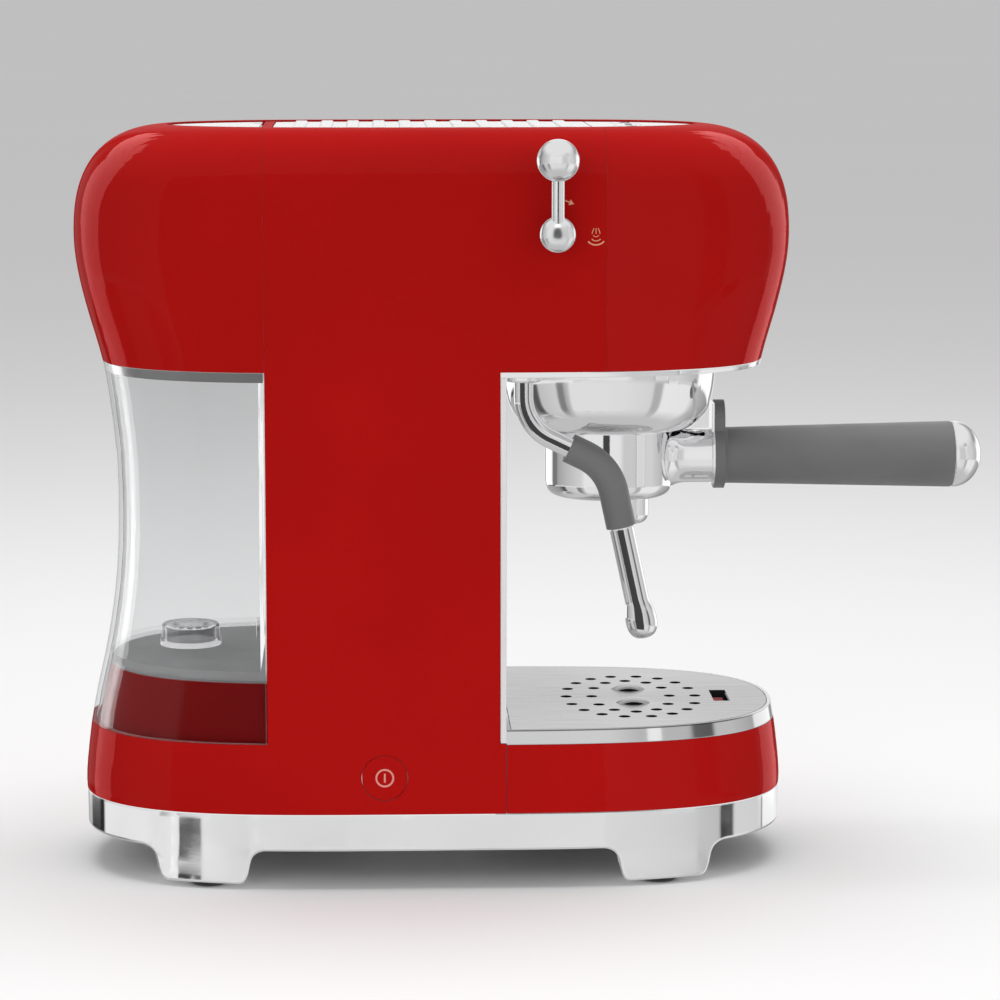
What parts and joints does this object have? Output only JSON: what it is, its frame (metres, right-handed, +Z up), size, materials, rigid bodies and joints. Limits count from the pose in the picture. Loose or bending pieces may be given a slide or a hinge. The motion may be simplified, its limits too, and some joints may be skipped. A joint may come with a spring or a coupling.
{
  "type": "espresso machine",
  "caption": "Narrow round-ended pump espresso machine with red shells, chrome base, rear water tank, drip tray, bayonet filter holder, steam lever and wand.",
  "frame": {"origin": "bottom centre of the bounding box, on the plane the rubber feet stand on", "axes": "+X towards the front, along the filter holder's handle; +Y across the width, away from the steam lever; +Z up"},
  "size_m": [0.4104, 0.1668, 0.333],
  "materials": {
    "red_enamel": "gloss",
    "red_plastic": "gloss",
    "chrome": "polished",
    "steel": "brushed",
    "aluminium": "cast",
    "brass": "turned",
    "black_rubber": "matte",
    "black_plastic": "matte",
    "dark_grey_plastic": "matte",
    "grey_plastic": "satin",
    "satin_grey": "satin",
    "clear_plastic": "clear",
    "button": "gloss",
    "circuit_board": "matte",
    "hose": "satin"
  },
  "bodies": {
    "chassis": {"base_skirt": "chrome", "rubber_feet": "black_rubber", "base_plate": "black_plastic", "base_screws": "steel", "cable_gland": "black_rubber", "main_shell": "red_enamel", "front_hood": "red_enamel", "rear_hood": "red_enamel", "fill_chute": "grey_plastic", "column_liner": "steel", "head_underplate": "chrome", "cup_warmer": "steel", "control_panel": "steel", "tank_bay_panel": "dark_grey_plastic", "tank_platform": "red_plastic", "tank_socket": "dark_grey_plastic", "flap_hinge_pin": "steel", "group_bowl": "chrome", "group_head": "aluminium", "group_gasket": "black_rubber", "shower_screen": "steel", "shower_screw": "steel", "steam_valve": "brass", "wand_socket": "chrome", "power_switch": "black_plastic", "button_board": "circuit_board", "inner_frame": "steel", "thermoblock": "aluminium", "pump": "dark_grey_plastic", "pump_mounts": "black_rubber", "suction_hose": "hose", "pressure_hose": "hose", "steam_pipe": "steel", "solenoid_valve": "brass", "control_board": "circuit_board"},
    "water_tank": {"water_tank": "clear_plastic", "tank_cap": "grey_plastic", "tank_filter": "grey_plastic", "tank_check_valve": "black_rubber"},
    "tank_flap": {"tank_flap": "steel"},
    "drip_tray": {"tray_tub": "red_enamel", "tray_rim": "chrome"},
    "drip_grate": {"drip_grate": "steel"},
    "level_float": {"level_float": "red_plastic"},
    "portafilter": {"portafilter_body": "chrome", "portafilter_spout": "chrome", "filter_basket": "steel", "handle_collar": "satin_grey", "handle_grip": "satin_grey", "handle_cap": "chrome", "handle_rod": "steel"},
    "steam_lever": {"steam_lever": "chrome", "lever_spindle": "steel"},
    "steam_wand": {"wand_tube": "chrome", "wand_sleeve": "satin_grey", "wand_nozzle": "chrome"},
    "button_one_cup": {"button_one_cup": "button"},
    "button_two_cups": {"button_two_cups": "button"},
    "button_steam": {"button_steam": "button"},
    "power_button": {"power_button": "red_plastic"}
  },
  "joints": [
    {"name": "tank_slide", "type": "slide", "parent": "chassis", "child": "water_tank", "axis": [-1, 0, 0], "range_m": [0, 0.095]},
    {"name": "flap_hinge", "type": "hinge", "parent": "chassis", "child": "tank_flap", "pos_m": [-0.12285, 0.0089, 0.3302], "axis": [0, 1, 0], "range_deg": [0, 100]},
    {"name": "tray_slide", "type": "slide", "parent": "chassis", "child": "drip_tray", "axis": [1, 0, 0], "range_m": [0, 0.13]},
    {"name": "grate_lift", "type": "slide", "parent": "drip_tray", "child": "drip_grate", "axis": [0, 0, 1], "range_m": [0, 0.03]},
    {"name": "float_rise", "type": "slide", "parent": "drip_tray", "child": "level_float", "axis": [0, 0, 1], "range_m": [0, 0.006]},
    {"name": "portafilter_turn", "type": "hinge", "parent": "chassis", "child": "portafilter", "pos_m": [0.03515, 0.0089, 0.2], "axis": [0, 0, 1], "range_deg": [-45, 0]},
    {"name": "steam_lever_turn", "type": "hinge", "parent": "chassis", "child": "steam_lever", "pos_m": [0.00735, -0.0651, 0.2886], "axis": [0, 1, 0], "range_deg": [0, 90]},
    {"name": "wand_swivel", "type": "hinge", "parent": "chassis", "child": "steam_wand", "pos_m": [-0.00585, -0.0411, 0.226], "axis": [0, 0, 1], "range_deg": [-85, 0]},
    {"name": "one_cup_press", "type": "slide", "parent": "chassis", "child": "button_one_cup", "axis": [0, 0, -1], "range_m": [0, 0.001], "stiffness_N_per_m": 900},
    {"name": "two_cup_press", "type": "slide", "parent": "chassis", "child": "button_two_cups", "axis": [0, 0, -1], "range_m": [0, 0.001], "stiffness_N_per_m": 900},
    {"name": "steam_press", "type": "slide", "parent": "chassis", "child": "button_steam", "axis": [0, 0, -1], "range_m": [0, 0.001], "stiffness_N_per_m": 900},
    {"name": "power_press", "type": "slide", "parent": "chassis", "child": "power_button", "axis": [0, 1, 0], "range_m": [0, 0.0015], "stiffness_N_per_m": 900}
  ]
}
